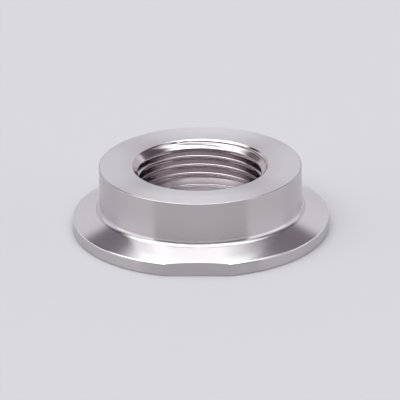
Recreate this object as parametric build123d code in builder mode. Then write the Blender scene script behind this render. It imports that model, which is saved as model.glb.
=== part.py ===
from build123d import *
import os
from math import ceil, radians, tan

# Stainless steel adapter, turned from one bar: a sanitary clamp flange at the bottom
# and a round body above it with an internal parallel pipe thread, open at the top.
# Millimetres. +Z is up, along the axis of the thread. The origin is on that axis,
# in the plane of the flange's sealing face, which is also what the adapter stands on.

# Clamp flange
flange_diameter = 64.0
rim_height = 3.2  # from the sealing face to the corner between rim and sloped back
back_slope = 20.0  # degrees, the slope that the clamp's jaws bear on
flange_edge_break = 0.3
flat_depth = 1.05  # how far the milled flat goes in from the rim

# Groove for the gasket's bead, in the sealing face
gasket_groove_inset = 3.75  # from the rim to the middle of the groove
gasket_groove_width = 3.6  # at the sealing face
gasket_groove_depth = 1.6
gasket_groove_flank = 30.0  # degrees, how far each flank leans from the axis

# Body
body_diameter = 50.4
overall_height = 16.6
body_foot_fillet = 1.5
body_edge_break = 0.3

# Internal pipe thread, right-hand, 11 turns to the inch
thread_major_diameter = 33.25
thread_pitch = 2.309
thread_angle = 55.0
thread_root_flat = thread_pitch / 6
thread_crest_flat = 0.29 * thread_pitch
thread_start_angle = 206.0  # where the first turn begins, about +Z from +X

# Mouth, relief under the thread, seat and bore through the bottom
mouth_lead = 0.335  # how far the mouth opens past the thread's roots
mouth_edge_break = 0.1
relief_lead = 0.15  # how far the relief is cut past the thread's roots
relief_width = 2.1
relief_corner_break = 0.4
seat_thickness = 4.2
bore_diameter = 25.0
bore_edge_break = 0.2

# Worked out from the sizes above
flange_radius = flange_diameter / 2
body_radius = body_diameter / 2
cone_foot_height = rim_height + (flange_radius - body_radius) * tan(radians(back_slope))
gasket_groove_mean_radius = flange_radius - gasket_groove_inset
gasket_floor_width = gasket_groove_width - 2 * gasket_groove_depth * tan(radians(gasket_groove_flank))
bore_radius = bore_diameter / 2

thread_major_radius = thread_major_diameter / 2
flank_slope = tan(radians(thread_angle / 2))
thread_depth = (thread_pitch - thread_root_flat - thread_crest_flat) / (2 * flank_slope)
thread_minor_radius = thread_major_radius - thread_depth

mouth_radius = thread_major_radius + mouth_lead
chamfer_height = mouth_radius - thread_minor_radius
relief_radius = thread_major_radius + relief_lead
relief_top = seat_thickness + relief_width


def corner(sketch, point):
    """The sketch's corner at a point given as (radius, height)."""
    return sketch.vertices().sort_by_distance(point)[0]


# What one turn of the thread's groove takes out of the wall. It starts a little inside
# the crests, and its flanks widen to there.
turn_overlap = thread_crest_flat / 4 / flank_slope
turn_inner_radius = thread_minor_radius - turn_overlap
turn_inner_width = thread_root_flat + 2 * (thread_depth + turn_overlap) * flank_slope
with BuildPart() as thread_turn:
    with BuildLine() as turn_path:
        Helix(pitch=thread_pitch, height=thread_pitch, radius=thread_minor_radius)
    with BuildSketch(Plane.XZ) as turn_section:
        with BuildLine():
            Polyline(
                (turn_inner_radius, -turn_inner_width / 2),
                (thread_major_radius, -thread_root_flat / 2),
                (thread_major_radius, thread_root_flat / 2),
                (turn_inner_radius, turn_inner_width / 2),
                close=True,
            )
        make_face()
    sweep(sections=turn_section.sketch, path=turn_path.line, is_frenet=True)

with BuildPart() as clamp_adapter:
    # Half section, turned about the axis
    rim_foot = (flange_radius, 0)
    rim_corner = (flange_radius, rim_height)
    body_foot = (body_radius, cone_foot_height)
    body_corner = (body_radius, overall_height)
    mouth_corner = (mouth_radius, overall_height)
    relief_corner = (relief_radius, seat_thickness)
    bore_top = (bore_radius, seat_thickness)
    bore_foot = (bore_radius, 0)
    with BuildSketch(Plane.XZ) as half_section:
        with BuildLine():
            Polyline(
                bore_foot,
                rim_foot,
                rim_corner,
                body_foot,
                body_corner,
                mouth_corner,
                (thread_minor_radius, overall_height - chamfer_height),
                (thread_minor_radius, relief_top),
                (relief_radius, relief_top),
                relief_corner,
                bore_top,
                close=True,
            )
        make_face()
        fillet(corner(half_section, body_foot), radius=body_foot_fillet)
        chamfer(
            [corner(half_section, rim_foot), corner(half_section, rim_corner)],
            length=flange_edge_break,
        )
        chamfer(corner(half_section, body_corner), length=body_edge_break)
        chamfer(corner(half_section, mouth_corner), length=mouth_edge_break)
        chamfer(corner(half_section, relief_corner), length=relief_corner_break)
        chamfer(
            [corner(half_section, bore_top), corner(half_section, bore_foot)],
            length=bore_edge_break,
        )
        # Gasket groove, open downwards
        with BuildLine():
            Polyline(
                (gasket_groove_mean_radius - gasket_groove_width / 2, 0),
                (gasket_groove_mean_radius - gasket_floor_width / 2, gasket_groove_depth),
                (gasket_groove_mean_radius + gasket_floor_width / 2, gasket_groove_depth),
                (gasket_groove_mean_radius + gasket_groove_width / 2, 0),
                close=True,
            )
        make_face(mode=Mode.SUBTRACT)
    revolve(axis=Axis.Z)

    # Thread: turn after turn, from inside the relief up past the mouth
    thread_start = seat_thickness + relief_width / 2
    thread_end = overall_height + thread_pitch / 2
    turns = ceil((thread_end - thread_start) / thread_pitch)
    turn_starts = [thread_start + turn * thread_pitch for turn in range(turns)]
    with Locations([(0, 0, height) for height in turn_starts]):
        add(thread_turn.part, rotation=(0, 0, thread_start_angle), mode=Mode.SUBTRACT)

    # Milled flat on the rim, towards -Y
    flat_distance = flange_radius - flat_depth
    split(bisect_by=Plane.XZ.offset(flat_distance), keep=Keep.BOTTOM)

clamp_adapter.part.label = "clamp_adapter"

os.makedirs("parts", exist_ok=True)
export_step(clamp_adapter.part, "parts/clamp_adapter.step")
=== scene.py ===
import bmesh
import bpy
import numpy as np
from math import atan2, cos, pi, radians, sin, tan
from mathutils import Matrix, Vector


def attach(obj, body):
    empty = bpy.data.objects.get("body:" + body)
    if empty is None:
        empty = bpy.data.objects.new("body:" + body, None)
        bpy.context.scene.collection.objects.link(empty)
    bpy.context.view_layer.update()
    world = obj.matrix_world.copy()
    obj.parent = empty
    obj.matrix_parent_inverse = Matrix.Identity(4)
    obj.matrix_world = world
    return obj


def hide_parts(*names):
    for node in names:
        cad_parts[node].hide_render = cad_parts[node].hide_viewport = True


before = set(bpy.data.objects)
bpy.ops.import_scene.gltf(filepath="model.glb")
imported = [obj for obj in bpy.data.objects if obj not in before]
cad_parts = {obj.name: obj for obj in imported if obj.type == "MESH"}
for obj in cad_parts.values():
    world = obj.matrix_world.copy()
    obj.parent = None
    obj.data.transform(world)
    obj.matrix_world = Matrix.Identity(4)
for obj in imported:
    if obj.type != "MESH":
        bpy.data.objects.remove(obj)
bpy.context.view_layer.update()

# Sizes in millimetres. The main ones are those of the solid that this mesh stands for.
flange_radius = 32.0
rim_height = 3.2
back_slope = radians(20.0)
flange_edge_round = 0.3
rim_corner_round = 0.45
flat_distance = 30.95
body_radius = 25.2
overall_height = 16.6
body_foot_fillet = 1.5
body_edge_round = 0.25
gasket_groove_radius = 28.25
gasket_groove_half_width = 1.8
gasket_floor_half_width = 0.876
gasket_groove_depth = 1.6
gasket_edge_round = 0.1
gasket_floor_round = 0.3
thread_major_radius = 16.625
thread_pitch = 2.309
thread_root_flat = thread_pitch / 6
thread_crest_flat = thread_pitch / 6
flank_slope = tan(radians(27.5))
thread_minor_radius = (
    thread_major_radius - (thread_pitch - thread_root_flat - thread_crest_flat) / (2 * flank_slope)
)
thread_start_angle = radians(206.0)
thread_root_round = 0.31
thread_crest_round = 0.31
mouth_radius = 16.96
mouth_edge_round = 0.06
relief_radius = 16.775
relief_top = 6.3
relief_corner_round = 0.4
relief_edge_round = 0.08
seat_height = 4.2
thread_start_height = (seat_height + relief_top) / 2  # of the groove's middle, at thread_start_angle
bore_radius = 12.5
bore_edge_round = 0.2

columns = 480  # of points, round the axis
tolerance = 0.01

# Finishes, in the order of the materials, and where one ends and the next begins
WALL, BACK, THREAD, FACED, FLAT, FILLET, SEAT = range(7)
rim_finish_top = rim_height - 0.22  # within the rim's corner round
fillet_reach = body_foot_fillet * (1 - sin(back_slope))
inside_radius = 17.1

# The photograph's view. The camera stands a little to the right of the milled flat.
view_turn = radians(2.05)
camera_tilt = radians(22.87)
camera_roll = radians(0.797)
camera_place = Vector((-0.168, -880.13, 378.28))
camera_lens = 345.0


def arc_corner(before, corner, after, radius, steps):
    """Points of a round between two straight lines that meet at a corner."""
    back = np.subtract(before, corner)
    ahead = np.subtract(after, corner)
    back = back / np.hypot(*back)
    ahead = ahead / np.hypot(*ahead)
    half = np.arccos(np.clip(back @ ahead, -1, 1)) / 2
    middle = (back + ahead) / np.hypot(*(back + ahead))
    centre = np.add(corner, middle * radius / np.sin(half))
    start = np.add(corner, back * radius / np.tan(half)) - centre
    end = np.add(corner, ahead * radius / np.tan(half)) - centre
    first = atan2(start[1], start[0])
    turn = (atan2(end[1], end[0]) - first + pi) % (2 * pi) - pi
    angles = first + turn * np.linspace(0, 1, steps + 1)
    return [tuple(centre + radius * np.array((cos(a), sin(a)))) for a in angles]


def rounded(corners):
    """A path through (x, y, radius, steps) corners, with a round at each that has a radius."""
    path = []
    for i, (x, y, radius, steps) in enumerate(corners):
        if radius:
            path += arc_corner(corners[i - 1][:2], (x, y), corners[i + 1][:2], radius, steps)
        else:
            path.append((x, y))
    return path


# The turned profile as (radius, height), from the thread's upper end over the top face,
# down the outside, along the sealing face, up the bore, over the seat and up the relief
thread_top = overall_height - (mouth_radius - thread_major_radius)
cone_foot_height = rim_height + (flange_radius - body_radius) * tan(back_slope)
fillet_top = cone_foot_height + body_foot_fillet
profile = rounded([
    (thread_major_radius, thread_top, 0, 0),
    (mouth_radius, overall_height, mouth_edge_round, 3),
    (body_radius, overall_height, body_edge_round, 5),
    (body_radius, cone_foot_height, body_foot_fillet, 9),
    (flange_radius, rim_height, rim_corner_round, 7),
    (flange_radius, 0, flange_edge_round, 5),
    (gasket_groove_radius + gasket_groove_half_width, 0, gasket_edge_round, 2),
    (gasket_groove_radius + gasket_floor_half_width, gasket_groove_depth, gasket_floor_round, 3),
    (gasket_groove_radius - gasket_floor_half_width, gasket_groove_depth, gasket_floor_round, 3),
    (gasket_groove_radius - gasket_groove_half_width, 0, gasket_edge_round, 2),
    (bore_radius, 0, bore_edge_round, 3),
    (bore_radius, seat_height, bore_edge_round, 4),
    (relief_radius, seat_height, relief_corner_round, 5),
    (relief_radius, relief_top, relief_edge_round, 2),
    (thread_major_radius, relief_top, 0, 0),
])[:-1]


def thread_section():
    """One pitch of the thread as (height above the groove's middle, radius)."""
    root = thread_root_flat / 2
    crest = thread_pitch / 2 - thread_crest_flat / 2
    whole = rounded([
        (-root, thread_major_radius, 0, 0),
        (root, thread_major_radius, thread_root_round, 5),
        (crest, thread_minor_radius, thread_crest_round, 5),
        (thread_pitch - crest, thread_minor_radius, thread_crest_round, 5),
        (thread_pitch - root, thread_major_radius, thread_root_round, 5),
        (thread_pitch + root, thread_major_radius, 0, 0),
    ])[1:-1]
    section = []
    for here, ahead in zip(whole, whole[1:]):
        # The flanks and flats are divided, and the rounds' short pieces aren't
        parts = 3 if np.hypot(*np.subtract(ahead, here)) > 0.4 else 1
        section += [tuple(np.add(here, np.subtract(ahead, here) * i / parts)) for i in range(parts)]
    return section


# The thread as rows that climb one pitch a turn, cut off at the relief and at the chamfer
section = thread_section()
angles = 2 * pi * np.arange(columns) / columns
first_height = thread_start_height - thread_pitch * thread_start_angle / (2 * pi)
starts = [
    (first_height + turn * thread_pitch + height, radius)
    for turn in range(-2, 7)
    for height, radius in section
]
lowest = max(i for i, (height, radius) in enumerate(starts) if height + thread_pitch <= relief_top)
highest = min(i for i, (height, radius) in enumerate(starts) if height >= thread_top)
rows = np.array(starts[lowest:highest + 1])
repeated = [(turn * thread_pitch + height, radius) for turn in range(-2, 6) for height, radius in section]
repeated_heights, repeated_radii = np.array(repeated).T


def thread_column(angle):
    """The thread's points over one angle, from the relief up to the chamfer."""
    climb = thread_pitch * angle / (2 * pi)
    heights = np.clip(rows[:, 0] + climb, relief_top, thread_top)
    radii = np.maximum(rows[:, 1], mouth_radius - (overall_height - heights))
    # The lowest points follow the thread's section where the relief cuts it
    radii[heights <= relief_top] = np.interp(
        relief_top - first_height - climb, repeated_heights, repeated_radii
    )
    radii[heights >= thread_top] = thread_major_radius
    return np.column_stack((radii, heights))


def build_adapter():
    """The whole adapter as one closed mesh, in metres, with a number for each face's finish."""
    outline = np.array(profile)
    ring_count = len(outline)
    size = ring_count + len(rows)
    points, faces, finishes = [], [], []
    for angle in angles:
        column = np.vstack((outline, thread_column(angle)))
        for radius, height in column:
            points.append((radius * cos(angle) / 1000, radius * sin(angle) / 1000, height / 1000))

    def place(column, index):
        """A point's number. Past the last column, a row goes on one turn higher."""
        if column < columns:
            return column * size + index
        if index < ring_count:
            return index
        return min(index + len(section), size - 1)

    strips = [(index, (index + 1) % size) for index in range(size)]
    strip_finishes = [finish_of(outline[i], outline[j]) if i < j < ring_count else THREAD for i, j in strips]
    for column in range(columns):
        for here, ahead in strips:
            faces.append((
                place(column, here), place(column, ahead),
                place(column + 1, ahead), place(column + 1, here),
            ))
        finishes += strip_finishes
    return points, faces, finishes


def finish_of(start, end):
    """The finish of the surface between two points of the turned profile."""
    inner, outer = min(start[0], end[0]), max(start[0], end[0])
    low, high = min(start[1], end[1]), max(start[1], end[1])
    if high < flange_edge_round + tolerance and outer < flange_radius - flange_edge_round:
        return FACED
    if inner > body_radius - tolerance and low > rim_finish_top and high < fillet_top:
        return BACK if inner > body_radius + fillet_reach - tolerance else FILLET
    if low > seat_height - tolerance and high < seat_height + tolerance:
        return SEAT
    if low > overall_height - tolerance:
        return FACED
    return THREAD if outer < inside_radius else WALL


points, faces, finishes = build_adapter()
shape = bpy.data.meshes.new("adapter")
shape.from_pydata(points, [], faces)
shape.polygons.foreach_set("material_index", finishes)
body = bmesh.new()
body.from_mesh(shape)
bmesh.ops.remove_doubles(body, verts=body.verts, dist=1e-7)
bmesh.ops.dissolve_degenerate(body, edges=body.edges, dist=1e-8)
cut = bmesh.ops.bisect_plane(
    body,
    geom=body.verts[:] + body.edges[:] + body.faces[:],
    plane_co=(0, -flat_distance / 1000, 0),
    plane_no=(0, -1, 0),
    clear_outer=True,
)
rim_edges = [e for e in cut["geom_cut"] if isinstance(e, bmesh.types.BMEdge)]
flat = bmesh.ops.edgeloop_fill(body, edges=rim_edges)["faces"]
for face in flat:
    face.material_index = FLAT
for edge in rim_edges:
    edge.smooth = False
bmesh.ops.recalc_face_normals(body, faces=body.faces)
for face in body.faces:
    face.smooth = True
body.to_mesh(shape)
body.free()
adapter = bpy.data.objects.new("adapter", shape)
bpy.context.scene.collection.objects.link(adapter)
# The turned finishes run round this centre
shape.use_auto_texspace = False
shape.texspace_location = (0, 0, 0)
shape.texspace_size = (flange_radius / 1000,) * 3
normals = adapter.modifiers.new("Normals", "WEIGHTED_NORMAL")
normals.keep_sharp = True


class Graph:
    """Short calls for the nodes of a material or a world."""

    def __init__(self, tree):
        self.tree = tree
        tree.nodes.clear()

    def node(self, kind, **settings):
        made = self.tree.nodes.new(kind)
        for name, value in settings.items():
            setattr(made, name, value)
        return made

    def feed(self, socket, value):
        if isinstance(value, bpy.types.NodeSocket):
            self.tree.links.new(value, socket)
        else:
            socket.default_value = value

    def math(self, operation, *values):
        made = self.node("ShaderNodeMath", operation=operation)
        for socket, value in zip(made.inputs, values):
            self.feed(socket, value)
        return made.outputs[0]

    def step(self, value, low, high):
        """0 below low and 1 above high, smooth between. With high under low it falls."""
        made = self.node("ShaderNodeMapRange", interpolation_type="SMOOTHSTEP")
        self.feed(made.inputs["Value"], value)
        if low < high:
            ends = (low, high, 0.0, 1.0)
        else:
            ends = (high, low, 1.0, 0.0)
        for name, number in zip(("From Min", "From Max", "To Min", "To Max"), ends):
            made.inputs[name].default_value = number
        return made.outputs["Result"]

    def times(self, *values):
        result = values[0]
        for value in values[1:]:
            result = self.math("MULTIPLY", result, value)
        return result

    def blend(self, factor, first, second):
        """Colour mix."""
        made = self.node("ShaderNodeMix", data_type="RGBA")
        self.feed(made.inputs["Factor"], factor)
        self.feed(made.inputs["A"], first)
        self.feed(made.inputs["B"], second)
        return made.outputs["Result"]


def noise(graph, vector, scale, detail=2.0, roughness=0.5):
    """Noise from 0 to 1."""
    made = graph.node("ShaderNodeTexNoise", noise_dimensions="3D")
    graph.feed(made.inputs["Vector"], vector)
    made.inputs["Scale"].default_value = scale
    made.inputs["Detail"].default_value = detail
    made.inputs["Roughness"].default_value = roughness
    return made.outputs["Fac"]


# Cells of the marks' noise to a metre: across the marks, along them, and in slow changes of tone
cells_across = 26000.0
cells_along = 60.0
cells_slow = 45.0


def turned_metal(name, color, roughness, anisotropy, groove_depth, painted_mouth_shade=1.0):
    """Stainless steel with fine marks that run round the axis.

    The groove depth is in metres. The painted mouth shade is how much of the colour is left at the mouth, a
    painted shade that darkens the colour towards the mouth.
    """
    material = bpy.data.materials.new(name)
    material.use_nodes = True
    graph = Graph(material.node_tree)
    place = graph.node("ShaderNodeTexCoord").outputs["Object"]
    split = graph.node("ShaderNodeSeparateXYZ")
    graph.feed(split.inputs[0], place)
    x, y, z = split.outputs
    radius = graph.math("SQRT", graph.math("ADD", graph.times(x, x), graph.times(y, y)))
    # Long round the axis, fine across it
    marks = graph.node("ShaderNodeCombineXYZ")
    for socket, across, along in zip(marks.inputs, (radius, z), (x, y)):
        across = graph.times(across, cells_across)
        along = graph.times(along, cells_along)
        graph.feed(socket, graph.math("ADD", across, along))
    graph.feed(marks.inputs[2], graph.times(graph.math("SUBTRACT", x, y), cells_slow))
    fine = noise(graph, marks.outputs[0], 0.25, 3.0, 0.6)
    coarse = noise(graph, place, cells_slow)
    shade = graph.node("ShaderNodeMapRange")
    graph.feed(shade.inputs["Value"], graph.math("ADD", graph.times(fine, 0.6), graph.times(coarse, 0.4)))
    shade.inputs["From Min"].default_value = 0.25
    shade.inputs["From Max"].default_value = 0.75
    dark = tuple(c * 0.95 for c in color) + (1.0,)
    light = tuple(min(1.0, c * 1.05) for c in color) + (1.0,)
    tint = graph.blend(shade.outputs["Result"], dark, light)
    # Painted shade: the colour darkens towards the mouth, from 23 mm in to 16.5 mm from the axis
    if painted_mouth_shade < 1:
        shaded = [tuple(c * painted_mouth_shade for c in end[:3]) + (1.0,) for end in (dark, light)]
        outer = graph.step(radius, 0.0165, 0.023)
        tint = graph.blend(outer, graph.blend(shade.outputs["Result"], *shaded), tint)
    rough = graph.math("ADD", roughness - 0.03, graph.times(fine, 0.06))
    bump = graph.node("ShaderNodeBump")
    bump.inputs["Strength"].default_value = 1.0
    bump.inputs["Distance"].default_value = groove_depth
    graph.feed(bump.inputs["Height"], fine)
    tangent = graph.node("ShaderNodeTangent", direction_type="RADIAL", axis="Z")
    surface = graph.node("ShaderNodeBsdfPrincipled")
    surface.inputs["Metallic"].default_value = 1.0
    surface.inputs["Anisotropic"].default_value = anisotropy
    surface.inputs["Anisotropic Rotation"].default_value = 0.25
    graph.feed(surface.inputs["Base Color"], tint)
    graph.feed(surface.inputs["Roughness"], rough)
    graph.feed(surface.inputs["Normal"], bump.outputs["Normal"])
    graph.feed(surface.inputs["Tangent"], tangent.outputs["Tangent"])
    output = graph.node("ShaderNodeOutputMaterial")
    graph.feed(output.inputs["Surface"], surface.outputs["BSDF"])
    return material


for material in (
    turned_metal("turned_wall", (0.557, 0.53, 0.532), 0.24, 1.0, 0.000002),
    turned_metal("turned_back", (0.757, 0.729, 0.752), 0.145, 0.6, 0.000001),
    turned_metal("thread", (0.612, 0.548, 0.564), 0.15, 0.5, 0.0000005),
    # The top face gets the painted shade towards the mouth
    turned_metal("faced", (0.765, 0.737, 0.765), 0.22, 1.0, 0.000001, 0.9),
    turned_metal("milled_flat", (0.522, 0.493, 0.503), 0.25, 0.8, 0.000002),
    turned_metal("foot_fillet", (0.62, 0.595, 0.61), 0.22, 0.9, 0.000001),
    turned_metal("seat", (0.70, 0.673, 0.695), 0.28, 1.0, 0.000001),
):
    shape.materials.append(material)

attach(adapter, "root")
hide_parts("clamp_adapter")

# Floor
floor_shape = bpy.data.meshes.new("floor")
reach = 6.0
corners = [(-reach, -reach, 0), (reach, -reach, 0), (reach, reach, 0), (-reach, reach, 0)]
floor_shape.from_pydata(corners, [], [(0, 1, 2, 3)])
floor = bpy.data.objects.new("floor", floor_shape)
bpy.context.scene.collection.objects.link(floor)
floor_paint = bpy.data.materials.new("floor")
floor_paint.use_nodes = True
graph = Graph(floor_paint.node_tree)
paint = graph.node("ShaderNodeBsdfDiffuse")
paint.inputs["Color"].default_value = (0.53, 0.513, 0.536, 1.0)
output = graph.node("ShaderNodeOutputMaterial")
graph.feed(output.inputs["Surface"], paint.outputs[0])
floor_shape.materials.append(floor_paint)

# Studio. Each panel is painted over the ones before it, by direction: the angle from the
# camera's side, the height above the horizon, and the place on a flat ceiling at height 1.
# An edge is given from where the panel has faded out to where it is whole.
world = bpy.data.worlds.new("studio")
bpy.context.scene.world = world
world.use_nodes = True
graph = Graph(world.node_tree)
turned = graph.node("ShaderNodeVectorRotate", rotation_type="Z_AXIS")
graph.feed(turned.inputs["Vector"], graph.node("ShaderNodeTexCoord").outputs["Generated"])
turned.inputs["Angle"].default_value = -view_turn
split = graph.node("ShaderNodeSeparateXYZ")
graph.feed(split.inputs[0], turned.outputs[0])
east, away, up = split.outputs
above = graph.math("MAXIMUM", up, 0.001)
ceiling_x = graph.math("DIVIDE", east, above)
ceiling_y = graph.math("DIVIDE", away, above)
azimuth = graph.math("ABSOLUTE", graph.math("ARCTAN2", east, graph.times(away, -1.0)))


def from_front(low, high):
    """Degrees to either side of the camera."""
    return graph.step(azimuth, radians(low), radians(high))


def height(low, high):
    """Degrees above the horizon."""
    return graph.step(up, sin(radians(low)), sin(radians(high)))


def ceiling(across, away):
    """A patch of the ceiling, by the soft edges that bound it across the view and away from the camera."""
    return graph.times(
        *(graph.step(ceiling_x, *edge) for edge in across),
        *(graph.step(ceiling_y, *edge) for edge in away),
    )


def grey(level, tint):
    """A level of light with a slight tint."""
    return tuple(level * c for c in tint) + (1.0,)


mauve = (1.04, 0.91, 1.04)
warm = (1.0, 1.04, 1.04)
cool = (0.99, 0.975, 1.02)

# The roof, whose far edge comes to a blunt point in the middle
slant = graph.times(ceiling_x, 0.35)
roof_back = graph.math(
    "MINIMUM",
    graph.step(graph.math("SUBTRACT", ceiling_y, slant), 0.96, 0.53),
    graph.step(graph.math("ADD", ceiling_y, slant), 0.76, 0.5),
)
roof = graph.times(ceiling(((-1.2, -1.0), (0.87, 0.4)), ((-1.2, -0.6),)), roof_back)

sky = graph.blend(height(0, 25), grey(0.65, cool), grey(0.73, cool))
panels = [
    # Pale walls to both sides, and the backdrop right behind the object
    (graph.times(from_front(140, 132), height(40, 32)), grey(0.98, cool)),
    (graph.times(from_front(110, 100), height(14, 7)), grey(2.0, cool)),
    (graph.times(from_front(166, 172), height(6, 14)), grey(0.76, cool)),
    # Dark gap beside and behind the object, between the walls and the roof
    (graph.times(from_front(92, 100), from_front(148, 140), height(26, 31)), grey(0.07, mauve)),
    (ceiling(((0.7, 0.85), (1.8, 1.6)), ((-0.5, -0.3), (1.4, 1.2))), grey(0.12, mauve)),
    (graph.times(from_front(138, 148), from_front(172, 166), ceiling((), ((1.55, 1.2),))), grey(0.2, mauve)),
    # The dark side that the camera looks from, with a paler middle
    (graph.times(from_front(53.5, 52.5), height(0.5, 2), height(46, 36)), grey(0.05, mauve)),
    (graph.times(from_front(30, 18), height(10, 16), height(46, 36)), grey(0.26, mauve)),
    # Gap to the right of the roof
    (ceiling(((0.3, 0.45), (0.9, 0.75)), ((-0.4, -0.2), (0.75, 0.55))), grey(0.42, mauve)),
    # The roof, brightest towards the camera and softer right above the object
    (roof, grey(2.05, warm)),
    (graph.times(roof, ceiling((), ((0.4, 0.1),))), grey(2.2, warm)),
    (graph.times(roof, ceiling(((-0.95, -0.55), (0.66, 0.45)), ((0.1, -0.1),))), grey(3.6, warm)),
    (ceiling(((-0.45, -0.3), (0.45, 0.3)), ((-0.23, -0.15), (0.2, 0.12))), grey(0.5, warm)),
]
for mask, level in panels:
    sky = graph.blend(mask, sky, level)
paint = graph.node("ShaderNodeBackground")
graph.feed(paint.inputs["Color"], sky)
output = graph.node("ShaderNodeOutputWorld")
graph.feed(output.inputs["Surface"], paint.outputs[0])

# Camera
turn = Matrix.Rotation(view_turn, 3, "Z")
ahead = turn @ Vector((0, cos(camera_tilt), -sin(camera_tilt)))
right = turn @ Vector((1, 0, 0))
top = right.cross(ahead)
axis_x = right * cos(camera_roll) - top * sin(camera_roll)
axis_y = right * sin(camera_roll) + top * cos(camera_roll)
lens = bpy.data.cameras.new("camera")
lens.lens = camera_lens
lens.sensor_width = 36.0
camera = bpy.data.objects.new("camera", lens)
place = Matrix((axis_x, axis_y, -ahead)).transposed().to_4x4()
place.translation = turn @ camera_place / 1000
camera.matrix_world = place
bpy.context.scene.collection.objects.link(camera)
bpy.context.scene.camera = camera
bpy.context.scene.view_settings.view_transform = "Standard"
